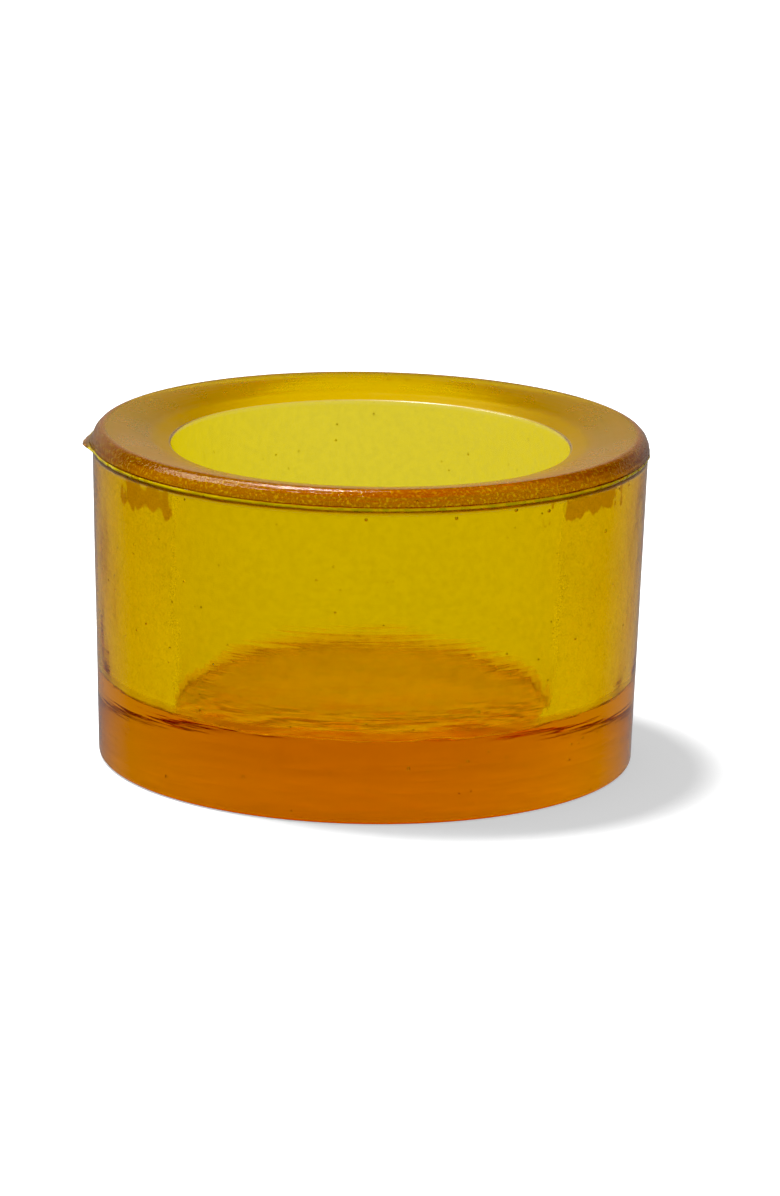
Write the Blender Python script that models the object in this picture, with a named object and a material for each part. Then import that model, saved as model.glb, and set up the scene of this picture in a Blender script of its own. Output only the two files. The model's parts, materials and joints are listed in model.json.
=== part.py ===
"""Tealight holder: one thick cup of pressed amber glass, standing on its flat underside.

The cup is a turned shape about +Z. Its origin is the centre of the underside. All sizes are in metres.
"""

from math import atan2, cos, hypot, pi, radians, sin, tan

import bmesh
import bpy

# Outer body: a slightly tapered wall, widest at the line where the two halves of the mould met.
PARTING_RADIUS = 0.0450
PARTING_HEIGHT = 0.0509
WALL_TOP_RADIUS = 0.0446
BASE_RADIUS = 0.0432
BASE_EDGE_RADIUS = 0.0008
FLASH_HALF_HEIGHT = 0.0004

# Rim: a rounded shoulder up to the crest, then a shallow funnel down to the mouth of the well.
HEIGHT = 0.0538
CREST_RADIUS = 0.0428
SHOULDER_RADIUS = 0.0448
SHOULDER_SQUARENESS = 0.92  # 1 is a full quarter ellipse, lower meets the parting line at a corner
CREST_ROUNDING = 0.0016
FUNNEL_SLOPE = radians(13.5)
MOUTH_RADIUS = 0.0326
MOUTH_ROUNDING = 0.0009

# Well for the tealight: its wall leans in a little from the rounded mouth to a flat floor.
WELL_FLOOR_RADIUS = 0.0306
FLOOR_HEIGHT = 0.0113
FLOOR_FILLET = 0.0006

# Spike of flash that broke unevenly at the parting line. Azimuths are measured from +X about +Z.
BURR_LENGTH = 0.0014
BURR_TIP_AZIMUTH = radians(183.75)
BURR_BACK_WIDTH = radians(18)
BURR_FRONT_WIDTH = radians(7)
BURR_ROOT_SHARE = 0.45  # how far the rings beside the parting line follow the spike

SEGMENTS = 96

GLASS_COLOUR = (0.80, 0.42, 0.02, 1.0)
GLASS_ROUGHNESS = 0.08
GLASS_IOR = 1.5


def clear_scene():
    for obj in list(bpy.data.objects):
        bpy.data.objects.remove(obj)


def arc(centre, radius_x, radius_z, start, end, steps):
    """Points of an elliptic arc, both ends included."""
    angles = [start + (end - start) * i / steps for i in range(steps + 1)]
    return [(centre[0] + radius_x * cos(a), centre[1] + radius_z * sin(a)) for a in angles]


def base_edge():
    centre = (BASE_RADIUS - BASE_EDGE_RADIUS, BASE_EDGE_RADIUS)
    return arc(centre, BASE_EDGE_RADIUS, BASE_EDGE_RADIUS, -pi / 2, 0, 4)


def parting_line():
    return [
        (WALL_TOP_RADIUS, PARTING_HEIGHT - FLASH_HALF_HEIGHT),
        (PARTING_RADIUS, PARTING_HEIGHT),
    ]


def shoulder():
    """Quarter ellipse from the parting line up to the crest, cut short at its lower end."""
    bottom = PARTING_HEIGHT + FLASH_HALF_HEIGHT
    start = pi / 2 * (1 - SHOULDER_SQUARENESS)
    radius_x = (SHOULDER_RADIUS - CREST_RADIUS) / cos(start)
    radius_z = (HEIGHT - bottom) / (1 - sin(start))
    return arc((CREST_RADIUS, HEIGHT - radius_z), radius_x, radius_z, start, pi / 2, 6)


def crest_to_mouth():
    """The rounded inner side of the crest, the straight funnel and the rounded lip of the well."""
    crest_centre = (CREST_RADIUS, HEIGHT - CREST_ROUNDING)
    crest = arc(crest_centre, CREST_ROUNDING, CREST_ROUNDING, pi / 2, pi / 2 + FUNNEL_SLOPE, 2)
    funnel_top = crest[-1]
    mouth_z = funnel_top[1] - (funnel_top[0] - MOUTH_RADIUS) * tan(FUNNEL_SLOPE)
    lip_centre = (
        MOUTH_RADIUS + MOUTH_ROUNDING * sin(FUNNEL_SLOPE),
        mouth_z - MOUTH_ROUNDING * cos(FUNNEL_SLOPE),
    )
    lip = arc(lip_centre, MOUTH_ROUNDING, MOUTH_ROUNDING, pi / 2 + FUNNEL_SLOPE, pi, 4)
    middle = ((funnel_top[0] + MOUTH_RADIUS) / 2, (funnel_top[1] + mouth_z) / 2)
    return crest[1:] + [middle] + lip


def well_wall(top, steps):
    """Straight run from the lip down to the floor's fillet."""
    bottom = (WELL_FLOOR_RADIUS, FLOOR_HEIGHT + FLOOR_FILLET)
    shares = [i / steps for i in range(1, steps)]
    return [(top[0] + (bottom[0] - top[0]) * s, top[1] + (bottom[1] - top[1]) * s) for s in shares]


def floor_fillet():
    centre = (WELL_FLOOR_RADIUS - FLOOR_FILLET, FLOOR_HEIGHT + FLOOR_FILLET)
    return arc(centre, FLOOR_FILLET, FLOOR_FILLET, 0, -pi / 2, 4)


def profile():
    """The outline in the XZ plane, from the edge of the underside round to the edge of the well's floor."""
    wall = base_edge() + parting_line() + shoulder()
    rim = crest_to_mouth()
    return wall + rim + well_wall(rim[-1], 3) + floor_fillet()


def burr_share(azimuth):
    """1 at the tip of the spike, falling in a straight line to 0 at each of its ends."""
    turn = (azimuth - BURR_TIP_AZIMUTH + pi) % (2 * pi) - pi
    width = BURR_FRONT_WIDTH if turn > 0 else BURR_BACK_WIDTH
    return max(0.0, 1 - abs(turn) / width)


def raise_burr(mesh):
    """Pushes the parting line outwards over the spike, and the rings beside it by part as much."""
    for vert in mesh.verts:
        distance = abs(vert.co.z - PARTING_HEIGHT)
        radius = hypot(vert.co.x, vert.co.y)
        if distance > FLASH_HALF_HEIGHT * 1.01 or radius < CREST_RADIUS:
            continue
        share = 1.0 if distance < FLASH_HALF_HEIGHT / 2 else BURR_ROOT_SHARE
        reach = BURR_LENGTH * share * burr_share(atan2(vert.co.y, vert.co.x))
        vert.co.x += reach * vert.co.x / radius
        vert.co.y += reach * vert.co.y / radius


def glass_material():
    material = bpy.data.materials.new("amber_glass")
    material.use_nodes = True
    shader = material.node_tree.nodes["Principled BSDF"]
    shader.inputs["Base Color"].default_value = GLASS_COLOUR
    shader.inputs["Roughness"].default_value = GLASS_ROUGHNESS
    shader.inputs["Metallic"].default_value = 0.0
    shader.inputs["IOR"].default_value = GLASS_IOR
    shader.inputs["Transmission Weight"].default_value = 1.0
    return material


def make_glass_body():
    """Spins the outline once about Z and closes it with a flat underside and a flat floor."""
    mesh = bmesh.new()
    verts = [mesh.verts.new((x, 0, z)) for x, z in profile()]
    edges = [mesh.edges.new(pair) for pair in zip(verts, verts[1:])]
    bmesh.ops.spin(
        mesh,
        geom=verts + edges,
        axis=(0, 0, 1),
        cent=(0, 0, 0),
        angle=2 * pi,
        steps=SEGMENTS,
        use_merge=True,
    )
    bmesh.ops.holes_fill(mesh, edges=[edge for edge in mesh.edges if edge.is_boundary], sides=0)
    raise_burr(mesh)
    bmesh.ops.recalc_face_normals(mesh, faces=mesh.faces)

    data = bpy.data.meshes.new("glass_body")
    mesh.to_mesh(data)
    mesh.free()
    data.shade_smooth()
    data.set_sharp_from_angle(angle=radians(35))
    body = bpy.data.objects.new("glass_body", data)
    bpy.context.scene.collection.objects.link(body)
    body.data.materials.append(glass_material())


clear_scene()
make_glass_body()
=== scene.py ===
"""Looks of the amber glass tealight holder: one thick pressed cup, its glass, and a white studio."""

import json
import random
from math import cos, exp, pi, radians, sin, tan

import bmesh
import bpy
from mathutils import Matrix, Vector, noise


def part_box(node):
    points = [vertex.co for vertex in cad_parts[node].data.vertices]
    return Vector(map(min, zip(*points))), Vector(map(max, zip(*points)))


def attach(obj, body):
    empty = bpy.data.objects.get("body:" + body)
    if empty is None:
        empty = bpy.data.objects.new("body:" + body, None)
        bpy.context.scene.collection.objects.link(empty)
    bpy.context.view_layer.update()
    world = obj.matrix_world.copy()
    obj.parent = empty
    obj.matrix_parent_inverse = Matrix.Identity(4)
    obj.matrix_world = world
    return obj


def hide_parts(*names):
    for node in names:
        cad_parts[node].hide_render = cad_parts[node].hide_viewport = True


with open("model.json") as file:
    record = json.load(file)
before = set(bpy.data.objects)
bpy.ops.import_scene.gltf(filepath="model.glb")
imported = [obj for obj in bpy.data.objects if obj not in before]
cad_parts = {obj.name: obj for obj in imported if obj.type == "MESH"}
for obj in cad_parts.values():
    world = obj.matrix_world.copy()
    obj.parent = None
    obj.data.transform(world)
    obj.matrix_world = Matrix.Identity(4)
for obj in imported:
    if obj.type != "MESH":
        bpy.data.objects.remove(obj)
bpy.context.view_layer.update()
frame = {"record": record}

# ---------------------------------------------------------------- sizes of the cup in metres, and counts
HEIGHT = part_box("glass_body")[1].z
PARTING_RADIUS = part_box("glass_body")[1].y
FLOOR_HEIGHT = next(m["pos_m"][2] for m in frame["record"]["mounts"] if m["name"] == "well_floor")

PARTING_HEIGHT = HEIGHT - 0.0029
WALL_TOP_RADIUS = PARTING_RADIUS - 0.0004
BASE_RADIUS = 0.0432
BASE_EDGE_RADIUS = 0.0008
FLASH_HALF_HEIGHT = 0.00035
SHOULDER_RADIUS = PARTING_RADIUS - 0.0002
SHOULDER_START = radians(7)
CREST_RADIUS = 0.0428
CREST_ROUNDING = 0.0016
FUNNEL_SLOPE = radians(13.5)
MOUTH_RADIUS = 0.0326
MOUTH_ROUNDING = 0.0009
WELL_FLOOR_RADIUS = 0.0306
FLOOR_FILLET = 0.0006
PLAIN_FLOOR_RADIUS = 0.0130  # inside it the floor needs few rings
AXIS_RADIUS = 0.0004  # the innermost ring of the underside and of the floor

BURR_LENGTH = 0.0014
BURR_TIP_AZIMUTH = radians(183.75)
BURR_BACK_WIDTH = radians(18)
BURR_FRONT_WIDTH = radians(7)

WALL_SEEDS = 46
SLAB_SEEDS = 44
LINE_SEEDS = 26

SEGMENTS = 400
MM = 0.001

# ---------------------------------------------------------------- colours and finish of the glass
GLASS_IOR = 1.5
ABSORPTION_COLOUR = (0.973, 0.895, 0.02, 1)
ABSORPTION_DENSITY = 185
RIM_HAZE = 0.30
RIM_COLOUR = (0.74, 0.47, 0.0, 1)
SHOULDER_COLOUR = (0.55, 0.19, 0.0, 1)
# Painted glints: the peaks of the shoulder's grain are lightened to this colour.
SHOULDER_PAINTED_GLINT = (0.88, 0.56, 0.03, 1)
WELL_COLOUR = (0.98, 1.0, 0.62, 1)
FLOOR_COLOUR = (1.0, 0.88, 0.55, 1)
STREAK_COLOUR = (1.0, 0.20, 0.0, 1)
EDGE_COLOUR = (0.95, 0.55, 0.04, 1)
# Painted amber glow on the underside: it stands in for amber light thrown through the glass onto the paper
# beneath.
UNDERSIDE_PAINTED_GLOW = (0.90, 0.22, 0.004, 1)
BURR_COLOUR = (0.40, 0.17, 0.02, 1)
# Painted glint: the bright yellow line along the flash stands in for light refracted there.
FLASH_PAINTED_GLINT = (0.95, 0.78, 0.02, 1)
LINE_COLOUR = (0.85, 0.45, 0.02, 1)
# Painted shade: the pits are darkened to this colour.
PIT_PAINTED_SHADE = (0.25, 0.12, 0.0, 1)
# Darker patches just below the parting line, at the front left and at the front right.
DARK_PATCH_COLOUR = (0.42, 0.12, 0.0, 1)
# Each dark patch is a centre and the half sizes of a box along X, Y and Z.
DARK_PATCH_LEFT = ((-0.0350, -0.0280, 0.0482), (0.0036, 0.012, 0.0022))
DARK_PATCH_RIGHT = ((0.0340, -0.0290, 0.0488), (0.0050, 0.012, 0.0018))

# ---------------------------------------------------------------- camera and studio
CAMERA_DISTANCE = 1.0
CAMERA_ELEVATION = radians(14.2)
CAMERA_ROLL = radians(1.1)
CAMERA_LENS = 186.3
AIM = Vector((0.0036, 0.0, 0.0257))

HORIZON_LIGHT = 0.96
HORIZON_IN_GLOSS = 0.42
OVERHEAD_LIGHT = 0.20
OVERHEAD_THROUGH_GLASS = 0.55
TENT_FALL_START = 0.28  # sines of the elevations between which the tent falls from pale to dim
TENT_FALL_END = 0.50
KEY_PATCH = (-0.62, 0.17, 0.77)
KEY_PATCH_LIGHT = 5
KEY_PATCH_CORE = radians(11)
KEY_PATCH_EDGE = radians(15)
KEY_LAMP_DIRECTION = (-0.22, 0.12, 0.97)
KEY_LAMP_DISTANCE = 1.2
KEY_LAMP_SIZE = 0.28
KEY_LAMP_POWER = 14
BACKDROP_BOOST = 2.9

PAPER_RADIUS = 6
PAPER_GAP = 0.00002
PAPER_WHITE = (0.92, 0.92, 0.92, 1)
PAPER_FILL = 0.50
TABLE_WHITE = (0.81, 0.81, 0.81, 1)
TABLE_IN_GLOSS = 0.40
BLACK_LEVEL = 0.035


def make_camera():
    data = bpy.data.cameras.new("camera")
    data.lens = CAMERA_LENS
    data.clip_start = 0.05
    data.clip_end = 50
    camera = bpy.data.objects.new("camera", data)
    bpy.context.scene.collection.objects.link(camera)
    back = Vector((0, -cos(CAMERA_ELEVATION), sin(CAMERA_ELEVATION)))
    camera.location = AIM + back * CAMERA_DISTANCE
    turn = (-back).to_track_quat("-Z", "Y").to_matrix().to_4x4()
    camera.matrix_world = Matrix.Translation(camera.location) @ turn @ Matrix.Rotation(CAMERA_ROLL, 4, "Z")
    bpy.context.scene.camera = camera


def link(tree, source, target):
    tree.links.new(source, target)


def math_node(tree, operation, a, b=None, clamp=False):
    """A Math node fed by sockets or numbers. Returns its output."""
    node = tree.nodes.new("ShaderNodeMath")
    node.operation = operation
    node.use_clamp = clamp
    for socket, value in zip(node.inputs, (a, b)):
        if value is None:
            continue
        if isinstance(value, (int, float)):
            socket.default_value = value
        else:
            link(tree, value, socket)
    return node.outputs[0]


def times(tree, a, b):
    return math_node(tree, "MULTIPLY", a, b)


def plus(tree, a, b):
    return math_node(tree, "ADD", a, b)


def map_range(tree, value, low, high, to_low=0.0, to_high=1.0, smooth=True):
    node = tree.nodes.new("ShaderNodeMapRange")
    node.interpolation_type = "SMOOTHSTEP" if smooth else "LINEAR"
    link(tree, value, node.inputs["Value"])
    node.inputs["From Min"].default_value = low
    node.inputs["From Max"].default_value = high
    node.inputs["To Min"].default_value = to_low
    node.inputs["To Max"].default_value = to_high
    return node.outputs[0]


def mix_colour(tree, factor, a, b):
    """Colour a where the factor is 0, b where it is 1. Each is a socket or a colour."""
    node = tree.nodes.new("ShaderNodeMix")
    node.data_type = "RGBA"
    link(tree, factor, node.inputs["Factor"])
    for socket, value in ((node.inputs[6], a), (node.inputs[7], b)):
        if isinstance(value, tuple):
            socket.default_value = value
        else:
            link(tree, value, socket)
    return node.outputs[2]


def dot(tree, vector, direction):
    node = tree.nodes.new("ShaderNodeVectorMath")
    node.operation = "DOT_PRODUCT"
    link(tree, vector, node.inputs[0])
    node.inputs[1].default_value = Vector(direction).normalized()
    return node.outputs["Value"]


def camera_only(tree, seen_by_camera, seen_by_others):
    """One number for what the camera sees directly, another for what lights and shows through the glass."""
    is_camera = tree.nodes.new("ShaderNodeLightPath").outputs["Is Camera Ray"]
    return map_range(tree, is_camera, 0, 1, seen_by_others, seen_by_camera, smooth=False)


def make_world():
    """A white light tent: pale near the horizon, dim overhead, with a soft bright patch high on the left.

    Rays that have passed into glass see the tent at full strength. Plain reflections see it dimmer, so
    that it doesn't veil the sides of the cup, and the camera sees it brighter. Neither is physical.
    """
    world = bpy.data.worlds.new("studio")
    bpy.context.scene.world = world
    world.use_nodes = True
    tree = world.node_tree
    background = tree.nodes["Background"]
    direction = tree.nodes.new("ShaderNodeTexCoord").outputs["Generated"]
    up = dot(tree, direction, (0, 0, 1))
    depth = tree.nodes.new("ShaderNodeLightPath").outputs["Transmission Depth"]
    overhead = map_range(tree, depth, 0, 1, OVERHEAD_LIGHT, OVERHEAD_THROUGH_GLASS, smooth=False)
    horizon = map_range(tree, depth, 0, 1, HORIZON_IN_GLOSS, HORIZON_LIGHT, smooth=False)
    fall = map_range(tree, up, TENT_FALL_START, TENT_FALL_END)
    tent = times(tree, math_node(tree, "SUBTRACT", overhead, horizon), fall)
    tent = plus(tree, tent, horizon)
    towards_key = dot(tree, direction, KEY_PATCH)
    key = map_range(tree, towards_key, cos(KEY_PATCH_EDGE), cos(KEY_PATCH_CORE), 0, KEY_PATCH_LIGHT)
    strength = times(tree, plus(tree, tent, key), camera_only(tree, BACKDROP_BOOST, 1.0))
    link(tree, strength, background.inputs["Strength"])
    background.inputs["Color"].default_value = (1, 1, 1, 1)


def make_lamp(name, direction, distance, size, power):
    """A round soft lamp that lights what scatters light. It isn't reflected or seen through the glass."""
    data = bpy.data.lights.new(name, "AREA")
    data.shape = "DISK"
    data.size = size
    data.energy = power
    data.cycles.use_multiple_importance_sampling = False
    lamp = bpy.data.objects.new(name, data)
    lamp.visible_glossy = False
    bpy.context.scene.collection.objects.link(lamp)
    towards = Vector(direction).normalized()
    turn = towards.to_track_quat("Z", "Y").to_matrix().to_4x4()
    lamp.matrix_world = Matrix.Translation(towards * distance) @ turn


def make_floor():
    """White paper. The camera sees it lit and shaded, with an even light of its own added.

    Every other ray sees an evenly lit table without a shadow, dimmer where it hasn't passed into glass.
    None of that is physical.
    """
    place = (0, 0, -PAPER_GAP)
    bpy.ops.mesh.primitive_circle_add(vertices=96, radius=PAPER_RADIUS, fill_type="NGON", location=place)
    floor = bpy.context.object
    floor.name = "studio_floor"
    material = bpy.data.materials.new("white_paper")
    material.use_nodes = True
    tree = material.node_tree
    tree.nodes.clear()
    paper = tree.nodes.new("ShaderNodeBsdfDiffuse")
    paper.inputs["Color"].default_value = PAPER_WHITE
    table = tree.nodes.new("ShaderNodeEmission")
    table.inputs["Color"].default_value = TABLE_WHITE
    depth = tree.nodes.new("ShaderNodeLightPath").outputs["Transmission Depth"]
    link(tree, map_range(tree, depth, 0, 1, TABLE_IN_GLOSS, 1.0, smooth=False), table.inputs["Strength"])
    fill = tree.nodes.new("ShaderNodeEmission")
    fill.inputs["Strength"].default_value = PAPER_FILL
    seen = tree.nodes.new("ShaderNodeAddShader")
    link(tree, paper.outputs["BSDF"], seen.inputs[0])
    link(tree, fill.outputs["Emission"], seen.inputs[1])
    mix = tree.nodes.new("ShaderNodeMixShader")
    link(tree, tree.nodes.new("ShaderNodeLightPath").outputs["Is Camera Ray"], mix.inputs["Fac"])
    link(tree, table.outputs["Emission"], mix.inputs[1])
    link(tree, seen.outputs["Shader"], mix.inputs[2])
    output = tree.nodes.new("ShaderNodeOutputMaterial")
    link(tree, mix.outputs["Shader"], output.inputs["Surface"])
    floor.data.materials.append(material)


# ---------------------------------------------------------------- outline of the cup
def arc(centre, radius_x, radius_z, start, end, steps):
    """Points of an elliptic arc, both ends included."""
    angles = [start + (end - start) * i / steps for i in range(steps + 1)]
    return [(centre[0] + radius_x * cos(a), centre[1] + radius_z * sin(a)) for a in angles]


def run(start, end, steps):
    """Points of a straight stretch, without its two ends."""
    shares = [i / steps for i in range(1, steps)]
    return [(start[0] + (end[0] - start[0]) * s, start[1] + (end[1] - start[1]) * s) for s in shares]


def roll(radius):
    """How far the funnel bulges above a straight cone: it rolls over from the crest into the mouth."""
    share = (radius - MOUTH_RADIUS) / (CREST_RADIUS - MOUTH_RADIUS)
    return 0.32 * MM * sin(pi * min(1.0, max(0.0, share)))


def zones():
    """The outline as named stretches of (radius, height).

    It runs from under the middle, up the outside and over the rim to the middle of the well.
    """
    foot = BASE_RADIUS - BASE_EDGE_RADIUS
    edge = arc((foot, BASE_EDGE_RADIUS), BASE_EDGE_RADIUS, BASE_EDGE_RADIUS, -pi / 2, 0, 9)
    axis = (AXIS_RADIUS, 0.0)
    under = [axis] + run(axis, edge[0], 12)
    flash_z = PARTING_HEIGHT
    wall_top = (WALL_TOP_RADIUS, flash_z - FLASH_HALF_HEIGHT)
    flash_reach = PARTING_RADIUS - WALL_TOP_RADIUS
    flash = arc((WALL_TOP_RADIUS, flash_z), flash_reach, FLASH_HALF_HEIGHT, -pi / 2, pi / 2, 8)
    wall = run(edge[-1], wall_top, 46)

    bottom = flash_z + FLASH_HALF_HEIGHT
    radius_x = (SHOULDER_RADIUS - CREST_RADIUS) / cos(SHOULDER_START)
    radius_z = (HEIGHT - bottom) / (1 - sin(SHOULDER_START))
    shoulder = arc((CREST_RADIUS, HEIGHT - radius_z), radius_x, radius_z, SHOULDER_START, pi / 2, 22)

    crest_centre = (CREST_RADIUS, HEIGHT - CREST_ROUNDING)
    crest = arc(crest_centre, CREST_ROUNDING, CREST_ROUNDING, pi / 2, pi / 2 + FUNNEL_SLOPE, 3)[1:]
    mouth_z = crest[-1][1] - (crest[-1][0] - MOUTH_RADIUS) * tan(FUNNEL_SLOPE)
    lip_centre = (
        MOUTH_RADIUS + MOUTH_ROUNDING * sin(FUNNEL_SLOPE),
        mouth_z - MOUTH_ROUNDING * cos(FUNNEL_SLOPE),
    )
    lip = arc(lip_centre, MOUTH_ROUNDING, MOUTH_ROUNDING, pi / 2 + FUNNEL_SLOPE, pi, 8)
    funnel = [(r, z + roll(r)) for r, z in run(crest[-1], lip[0], 30)]

    fillet_centre = (WELL_FLOOR_RADIUS - FLOOR_FILLET, FLOOR_HEIGHT + FLOOR_FILLET)
    fillet = arc(fillet_centre, FLOOR_FILLET, FLOOR_FILLET, 0, -pi / 2, 7)
    well = run(lip[-1], fillet[0], 36)
    plain = (PLAIN_FLOOR_RADIUS, FLOOR_HEIGHT)
    middle = (AXIS_RADIUS, FLOOR_HEIGHT)
    floor = run(fillet[-1], plain, 40) + [plain] + run(plain, middle, 10) + [middle]
    return [
        ("under", under),
        ("edge", edge),
        ("wall", wall),
        ("flash", flash),
        ("shoulder", shoulder),
        ("crest", crest),
        ("funnel", funnel),
        ("lip", lip),
        ("well", well),
        ("fillet", fillet),
        ("floor", floor),
    ]


# ---------------------------------------------------------------- unevenness of the pressed glass
def wobble(x, y, z, scale, seed):
    """Smooth noise of about -1 to 1 whose bumps are scale across."""
    return noise.noise(Vector((x / scale + seed, y / scale - seed, z / scale + 2 * seed)))


def smoothstep(low, high, value):
    share = min(1.0, max(0.0, (value - low) / (high - low)))
    return share * share * (3 - 2 * share)


def burr_share(azimuth):
    """1 at the tip of the spike of flash, falling in a straight line to 0 at each of its ends."""
    turn = (azimuth - BURR_TIP_AZIMUTH + pi) % (2 * pi) - pi
    width = BURR_FRONT_WIDTH if turn > 0 else BURR_BACK_WIDTH
    return max(0.0, 1 - abs(turn) / width)


def floor_ripples(x, y, radius):
    """Chill wrinkles that froze into the floor: long, thin and crowded towards the front."""
    front = smoothstep(0.002, 0.016, -y + 0.25 * max(x, 0)) * smoothstep(0.010, 0.020, radius)
    side = 0.35 * smoothstep(0.020, 0.027, radius)
    sway = 0.0016 * wobble(x, y, 0, 0.009, 3.1)
    long = wobble(x * 0.30, y + sway, 0, 0.0021, 7.7)
    fine = wobble(x * 0.22, y + sway, 0, 0.0011, 5.9)
    return max(front, side) * MM * (0.17 * long + 0.08 * fine)


def edge_sag(x, y, radius, z):
    """How far the edge of the floor rises and falls where the hot glass met the cold plunger."""
    near = smoothstep(0.024, WELL_FLOOR_RADIUS - 0.001, radius) * (1 - smoothstep(0, 0.004, z - FLOOR_HEIGHT))
    return near * MM * (0.28 * wobble(x, y, 0, 0.0055, 21.3) + 0.14 * wobble(x, y, 0, 0.0021, 22.7))


def displaced(zone, radius, z, azimuth):
    """The point of the outline at this azimuth, moved by the local unevenness."""
    x, y = radius * cos(azimuth), radius * sin(azimuth)
    if zone == "under":
        inside = smoothstep(0, 0.006, BASE_RADIUS - radius - 0.001)
        lift = 0.10 * MM * (1 + wobble(x, y, z, 0.012, 5.5)) * inside
        return radius, z + lift
    if zone in ("edge", "wall"):
        rise = smoothstep(0.0, 0.004, z) * smoothstep(0.0, 0.002, PARTING_HEIGHT - z)
        broad = 0.045 * MM * wobble(x, y, z, 0.014, 1.3)
        fine = 0.015 * MM * wobble(x, y, z * 2.5, 0.006, 2.9)
        return radius + rise * (broad + fine), z
    if zone == "flash":
        bulge = (radius - WALL_TOP_RADIUS) / (PARTING_RADIUS - WALL_TOP_RADIUS)
        radius += max(0.0, bulge) * 0.16 * MM * (wobble(x, y, z, 0.0022, 4.4) - 0.6)
        radius += max(0.0, bulge) ** 2 * BURR_LENGTH * burr_share(azimuth)
        z += 0.06 * MM * wobble(x, y, 0, 0.004, 6.1)
        return radius, z
    if zone == "shoulder":
        climb = (z - PARTING_HEIGHT) / (HEIGHT - PARTING_HEIGHT)
        fade = smoothstep(0, 0.2, climb) * smoothstep(0, 0.2, 1 - climb)
        radius += fade * (0.035 * MM * sin(climb * 7 * pi) + 0.025 * MM * wobble(x, y, z * 4, 0.0012, 8.3))
        radius += (1 - smoothstep(0.0, 0.35, climb)) * 0.35 * BURR_LENGTH * burr_share(azimuth)
        return radius, z
    if zone in ("crest", "funnel"):
        inward = (CREST_RADIUS - radius) / (CREST_RADIUS - MOUTH_RADIUS)
        fade = smoothstep(0, 0.08, inward) * smoothstep(0, 0.08, 1 - inward)
        ring = 0.035 * MM * exp(-(((radius - MOUTH_RADIUS - 0.0022) / 0.00035) ** 2))
        marks = 0.008 * MM * sin(radius / 0.0011 * 2 * pi) + 0.02 * MM * wobble(x, y, 0, 0.010, 9.2)
        return radius, z + fade * (ring + marks)
    if zone in ("lip", "well", "fillet"):
        depth = smoothstep(0, 0.004, HEIGHT - 0.003 - z)
        sway = 0.11 * MM * wobble(x, y, z, 0.010, 11.7) + 0.045 * MM * wobble(x, y, z * 0.6, 0.0045, 12.9)
        ragged = (1 - smoothstep(0, 0.004, z - FLOOR_HEIGHT)) * 0.35 * MM * wobble(x, y, 0, 0.006, 14.1)
        return radius + depth * (sway + ragged), z + edge_sag(x, y, radius, z)
    ripples = floor_ripples(x, y, radius)
    uneven = 0.10 * MM * wobble(x, y, 0, 0.012, 17.3)
    inside = smoothstep(0, 0.0012, WELL_FLOOR_RADIUS - FLOOR_FILLET - radius)
    return radius, z + (ripples + uneven) * inside + edge_sag(x, y, radius, z)


# ---------------------------------------------------------------- bubbles caught in the glass
def bubble_places():
    """Centres and radii of seeds in the wall, in the slab and under the parting line."""
    rng = random.Random(41)
    places = []
    for _ in range(WALL_SEEDS):
        azimuth = rng.uniform(0, 2 * pi)
        z = rng.uniform(0.016, PARTING_HEIGHT - 0.004)
        radius = rng.uniform(0.0345, 0.0425)
        places.append((radius, azimuth, z, rng.uniform(0.10, 0.22) * MM))
    for _ in range(SLAB_SEEDS):
        azimuth = rng.uniform(0, 2 * pi)
        z = rng.uniform(0.0025, FLOOR_HEIGHT - 0.0015)
        radius = 0.0418 * rng.uniform(0.55, 1) ** 0.5
        places.append((radius, azimuth, z, rng.uniform(0.14, 0.30) * MM))
    for _ in range(LINE_SEEDS):
        azimuth = rng.uniform(0, 2 * pi)
        z = PARTING_HEIGHT - rng.uniform(0.0008, 0.0022)
        places.append((0.0437, azimuth, z, rng.uniform(0.15, 0.34) * MM))
    return places


def add_bubbles(mesh):
    """Small round cavities. Their faces look into the cavity, away from the glass."""
    for radius, azimuth, z, size in bubble_places():
        centre = Vector((radius * cos(azimuth), radius * sin(azimuth), z))
        place = Matrix.Translation(centre)
        made = bmesh.ops.create_icosphere(mesh, subdivisions=2, radius=size, matrix=place)
        faces = {face for vert in made["verts"] for face in vert.link_faces}
        bmesh.ops.reverse_faces(mesh, faces=list(faces))


# ---------------------------------------------------------------- the cup's mesh
def make_cup():
    outline = [(zone, *point) for zone, points in zones() for point in points]
    mesh = bmesh.new()
    rings = []
    for zone, radius, z in outline:
        ring = []
        for i in range(SEGMENTS):
            azimuth = 2 * pi * i / SEGMENTS
            r, h = displaced(zone, radius, z, azimuth)
            ring.append(mesh.verts.new((r * cos(azimuth), r * sin(azimuth), h)))
        rings.append(ring)
    for low, high in zip(rings, rings[1:]):
        for i in range(SEGMENTS):
            j = (i + 1) % SEGMENTS
            mesh.faces.new((low[i], low[j], high[j], high[i]))
    for ring, order in ((rings[0], -1), (rings[-1], 1)):
        middle = mesh.verts.new(sum((vert.co for vert in ring), Vector()) / SEGMENTS)
        for i in range(SEGMENTS):
            j = (i + 1) % SEGMENTS
            mesh.faces.new((middle, ring[i], ring[j])[::order])
    add_bubbles(mesh)
    data = bpy.data.meshes.new("glass_cup")
    mesh.to_mesh(data)
    mesh.free()
    data.shade_smooth()
    cup = bpy.data.objects.new("glass_cup", data)
    bpy.context.scene.collection.objects.link(cup)
    return cup


# ---------------------------------------------------------------- the glass
def noise_texture(tree, vector, scale, detail=2.0, roughness=0.5):
    node = tree.nodes.new("ShaderNodeTexNoise")
    link(tree, vector, node.inputs["Vector"])
    node.inputs["Scale"].default_value = scale
    node.inputs["Detail"].default_value = detail
    node.inputs["Roughness"].default_value = roughness
    return node.outputs["Fac"]


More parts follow.
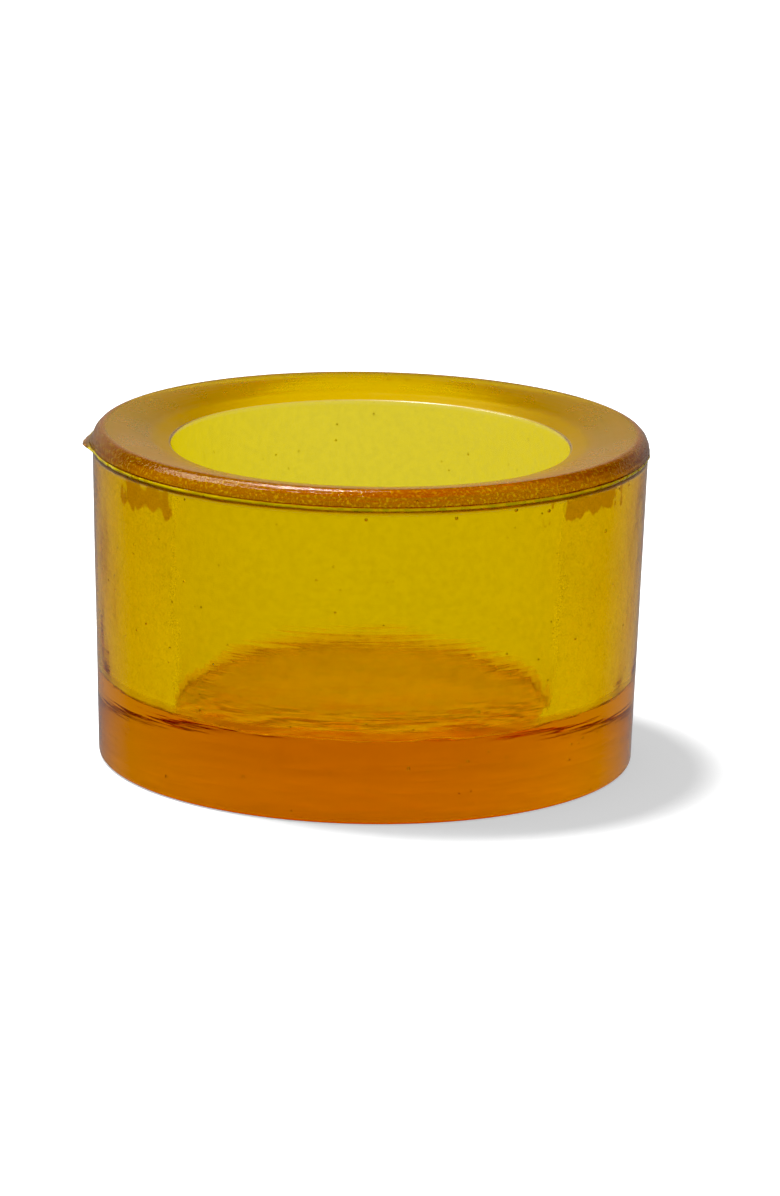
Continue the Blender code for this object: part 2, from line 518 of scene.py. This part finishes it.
def stretched(tree, vector, scale):
    node = tree.nodes.new("ShaderNodeVectorMath")
    node.operation = "MULTIPLY"
    link(tree, vector, node.inputs[0])
    node.inputs[1].default_value = scale
    return node.outputs["Vector"]


def bump(tree, height, distance, normal=None):
    node = tree.nodes.new("ShaderNodeBump")
    node.inputs["Strength"].default_value = 1.0
    node.inputs["Distance"].default_value = distance
    link(tree, height, node.inputs["Height"])
    if normal is not None:
        link(tree, normal, node.inputs["Normal"])
    return node.outputs["Normal"]


def spots(tree, place, scale, size, share):
    """1 inside small round spots scattered through space, 0 elsewhere. Only some cells hold a spot."""
    node = tree.nodes.new("ShaderNodeTexVoronoi")
    node.inputs["Scale"].default_value = scale
    link(tree, place, node.inputs["Vector"])
    pick = tree.nodes.new("ShaderNodeSeparateColor")
    link(tree, node.outputs["Color"], pick.inputs["Color"])
    inside = map_range(tree, node.outputs["Distance"], size * 0.6, size, 1, 0)
    return times(tree, inside, math_node(tree, "LESS_THAN", pick.outputs[0], share))


def dark_patch(tree, place, centre, size, ragged):
    """1 inside a small box on the wall with ragged edges, 0 outside it."""
    node = tree.nodes.new("ShaderNodeVectorMath")
    node.operation = "SUBTRACT"
    link(tree, place, node.inputs[0])
    node.inputs[1].default_value = centre
    split = tree.nodes.new("ShaderNodeSeparateXYZ")
    link(tree, stretched(tree, node.outputs["Vector"], tuple(1 / s for s in size)), split.inputs[0])
    along = math_node(tree, "ABSOLUTE", split.outputs["X"])
    up = math_node(tree, "ABSOLUTE", split.outputs["Z"])
    edge = plus(tree, math_node(tree, "MAXIMUM", along, up), ragged)
    front = math_node(tree, "LESS_THAN", math_node(tree, "ABSOLUTE", split.outputs["Y"]), 1.0)
    return times(tree, map_range(tree, edge, 0.85, 1.05, 1, 0), front)


def glass_zones(tree, place):
    """The radius, Y and Z of a point, and masks that are 1 on one part of the cup and 0 off it."""
    split = tree.nodes.new("ShaderNodeSeparateXYZ")
    link(tree, place, split.inputs[0])
    x, y, z = split.outputs
    squares = plus(tree, math_node(tree, "POWER", x, 2), math_node(tree, "POWER", y, 2))
    radius = math_node(tree, "SQRT", squares)

    outside = map_range(tree, radius, MOUTH_RADIUS - 0.0006, MOUTH_RADIUS - 0.0001)
    above = map_range(tree, z, PARTING_HEIGHT + 0.0001, PARTING_HEIGHT + 0.0005)
    off_crest = map_range(tree, radius, CREST_RADIUS - 0.0006, CREST_RADIUS + 0.0006)
    off_line = math_node(tree, "ABSOLUTE", math_node(tree, "SUBTRACT", z, PARTING_HEIGHT))
    outer = map_range(tree, radius, CREST_RADIUS - 0.0003, CREST_RADIUS + 0.0002)
    beyond = map_range(tree, radius, MOUTH_RADIUS + 0.0014, MOUTH_RADIUS + 0.0034)
    inner = math_node(tree, "SUBTRACT", 1.0, beyond)
    near_floor = math_node(tree, "ABSOLUTE", math_node(tree, "SUBTRACT", z, FLOOR_HEIGHT))
    by_the_fillet = map_range(tree, radius, WELL_FLOOR_RADIUS - 0.0013, WELL_FLOOR_RADIUS - 0.0005)
    floor_edge = times(tree, inner, map_range(tree, near_floor, 0.0012, 0.0020, 1, 0))
    return {
        "radius": radius,
        "y": y,
        "z": z,
        "outer": outer,
        "rim": times(tree, map_range(tree, z, HEIGHT - 0.0044, HEIGHT - 0.0032), outside),
        "shoulder": times(tree, above, off_crest),
        "flash": times(tree, map_range(tree, off_line, 0.0001, 0.0003, 1, 0), outer),
        "below": times(tree, map_range(tree, z, PARTING_HEIGHT - 0.0010, PARTING_HEIGHT - 0.0005), outer),
        "burr": map_range(tree, x, -PARTING_RADIUS - 0.0004, -PARTING_RADIUS + 0.0002, 1, 0),
        "well": times(tree, inner, map_range(tree, z, FLOOR_HEIGHT + 0.001, FLOOR_HEIGHT + 0.003)),
        "floor": times(tree, inner, map_range(tree, near_floor, 0.0005, 0.0008, 1, 0)),
        "floor_edge": times(tree, floor_edge, by_the_fillet),
        "foot": map_range(tree, z, 0.0006, 0.0012, 1, 0),
        "underside": map_range(tree, z, 0.0003, 0.0006, 1, 0),
    }


def glass_roughness(tree, zone, broad):
    """Glossy walls, a satin rim, foot and floor edge, and a well that is a little frosted higher up."""
    rough = map_range(tree, broad, 0.3, 0.7, 0.03, 0.07)
    rough = plus(tree, rough, times(tree, zone["rim"], 0.23))
    rough = math_node(tree, "SUBTRACT", rough, times(tree, zone["shoulder"], 0.11))
    rough = plus(tree, rough, times(tree, zone["floor_edge"], 0.30))
    frost = map_range(tree, zone["z"], 0.020, 0.034, 0.03, 0.11)
    rough = plus(tree, rough, times(tree, zone["well"], frost))
    return plus(tree, rough, times(tree, zone["foot"], 0.20))


def glass_haze(tree, place, zone, pits_and_shade):
    """The share of the surface that scatters light and doesn't pass it."""
    mottle = noise_texture(tree, place, 850, 4, 0.65)
    haze = times(tree, zone["well"], map_range(tree, mottle, 0.35, 0.70, 0.05, 0.12))
    haze = plus(tree, haze, times(tree, zone["rim"], RIM_HAZE))
    beads = map_range(tree, noise_texture(tree, place, 900, 2), 0.42, 0.58, 0.1, 0.7)
    haze = plus(tree, haze, times(tree, zone["flash"], beads))
    return plus(tree, haze, times(tree, pits_and_shade, 0.5))


def floor_streaks(tree, place, zone):
    """Long thin streaks on the front half of the well's floor."""
    along_x = stretched(tree, place, (0.18, 1, 1))
    streaks = map_range(tree, noise_texture(tree, along_x, 620, 3), 0.48, 0.58)
    streaks = times(tree, streaks, zone["floor"])
    return times(tree, streaks, map_range(tree, zone["y"], -0.016, 0.004, 1, 0))


def glass_colour(tree, place, zone, pits_and_shade, grain_and_glints):
    """The surface's tint, laid on from the widest zone to the smallest. Parts of it are painted glow, glints
    and shade.
    """
    raggedness = noise_texture(tree, stretched(tree, place, (1, 1, 0.4)), 420, 3)
    ragged = map_range(tree, raggedness, 0.3, 0.7, -0.45, 0.45)
    left, right = (dark_patch(tree, place, *box, ragged) for box in (DARK_PATCH_LEFT, DARK_PATCH_RIGHT))
    colour = mix_colour(tree, zone["well"], (1, 1, 1, 1), WELL_COLOUR)
    colour = mix_colour(tree, zone["floor"], colour, FLOOR_COLOUR)
    # painted amber glow on the underside
    colour = mix_colour(tree, zone["underside"], colour, UNDERSIDE_PAINTED_GLOW)
    colour = mix_colour(tree, floor_streaks(tree, place, zone), colour, STREAK_COLOUR)
    colour = mix_colour(tree, zone["floor_edge"], colour, EDGE_COLOUR)
    colour = mix_colour(tree, zone["below"], colour, LINE_COLOUR)
    colour = mix_colour(tree, times(tree, plus(tree, left, right), 0.8), colour, DARK_PATCH_COLOUR)
    colour = mix_colour(tree, zone["rim"], colour, RIM_COLOUR)
    # the grain's peaks are painted lighter, as glints on the shoulder
    shoulder = mix_colour(tree, map_range(tree, grain_and_glints, 0.52, 0.66), SHOULDER_COLOUR, SHOULDER_PAINTED_GLINT)
    colour = mix_colour(tree, zone["shoulder"], colour, shoulder)
    # painted glint along the flash line
    colour = mix_colour(tree, zone["flash"], colour, FLASH_PAINTED_GLINT)
    colour = mix_colour(tree, zone["burr"], colour, BURR_COLOUR)
    # painted shade darkens the pits
    return mix_colour(tree, pits_and_shade, colour, PIT_PAINTED_SHADE)


def glass_bumps(tree, place, zone, pits_and_shade, broad, grain_and_glints):
    """Pebbling in the well, faint level striae, turned rings on the rim, the shoulder's grain and pits."""
    pebbles = noise_texture(tree, stretched(tree, place, (1, 1, 0.55)), 420, 2)
    normal = bump(tree, times(tree, pebbles, zone["well"]), 0.00005)
    striae = noise_texture(tree, stretched(tree, place, (0.05, 0.05, 1.0)), 1500, 2)
    normal = bump(tree, striae, 0.000022, normal)
    turned = noise_texture(tree, stretched(tree, place, (0.2, 0.2, 6)), 900, 2)
    normal = bump(tree, times(tree, turned, zone["shoulder"]), 0.00005, normal)
    by_radius = tree.nodes.new("ShaderNodeCombineXYZ")
    link(tree, zone["radius"], by_radius.inputs["X"])
    rings = noise_texture(tree, by_radius.outputs["Vector"], 3200, 2)
    worn = map_range(tree, broad, 0.40, 0.60, 0.3, 1.0)
    normal = bump(tree, times(tree, times(tree, rings, worn), zone["rim"]), 0.00001, normal)
    normal = bump(tree, times(tree, grain_and_glints, zone["shoulder"]), 0.00008, normal)
    return bump(tree, pits_and_shade, -0.00015, normal)


def glass_material():
    material = bpy.data.materials.new("amber_glass")
    material.use_nodes = True
    tree = material.node_tree
    shader = tree.nodes["Principled BSDF"]
    place = tree.nodes.new("ShaderNodeTexCoord").outputs["Object"]
    zone = glass_zones(tree, place)
    broad = noise_texture(tree, place, 160, 3)
    grain_and_glints = noise_texture(tree, place, 2400, 2)
    pits_and_shade = times(tree, spots(tree, place, 420, 0.075, 0.35), zone["outer"])

    haze = glass_haze(tree, place, zone, pits_and_shade)
    link(tree, glass_roughness(tree, zone, broad), shader.inputs["Roughness"])
    link(tree, math_node(tree, "SUBTRACT", 1.0, haze, clamp=True), shader.inputs["Transmission Weight"])
    link(tree, glass_colour(tree, place, zone, pits_and_shade, grain_and_glints), shader.inputs["Base Color"])
    link(tree, glass_bumps(tree, place, zone, pits_and_shade, broad, grain_and_glints), shader.inputs["Normal"])

    shader.inputs["IOR"].default_value = GLASS_IOR
    absorption = tree.nodes.new("ShaderNodeVolumeAbsorption")
    absorption.inputs["Color"].default_value = ABSORPTION_COLOUR
    absorption.inputs["Density"].default_value = ABSORPTION_DENSITY
    output = tree.nodes["Material Output"]
    link(tree, absorption.outputs["Volume"], output.inputs["Volume"])
    return material


def set_look():
    """The standard view with slightly deeper blacks, no caustics, and enough bounces for thick glass."""
    scene = bpy.context.scene
    scene.view_settings.view_transform = "Standard"
    scene.view_settings.use_curve_mapping = True
    scene.view_settings.curve_mapping.black_level = (BLACK_LEVEL, BLACK_LEVEL, BLACK_LEVEL)
    scene.view_settings.curve_mapping.update()
    scene.cycles.caustics_reflective = False
    scene.cycles.caustics_refractive = False
    scene.cycles.max_bounces = 32
    scene.cycles.glossy_bounces = 16
    scene.cycles.transmission_bounces = 24
    scene.cycles.diffuse_bounces = 4


make_camera()
make_world()
make_lamp("key", KEY_LAMP_DIRECTION, KEY_LAMP_DISTANCE, KEY_LAMP_SIZE, KEY_LAMP_POWER)
make_floor()
set_look()
cup = make_cup()
cup.data.materials.append(glass_material())
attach(cup, "root")
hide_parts("glass_body")
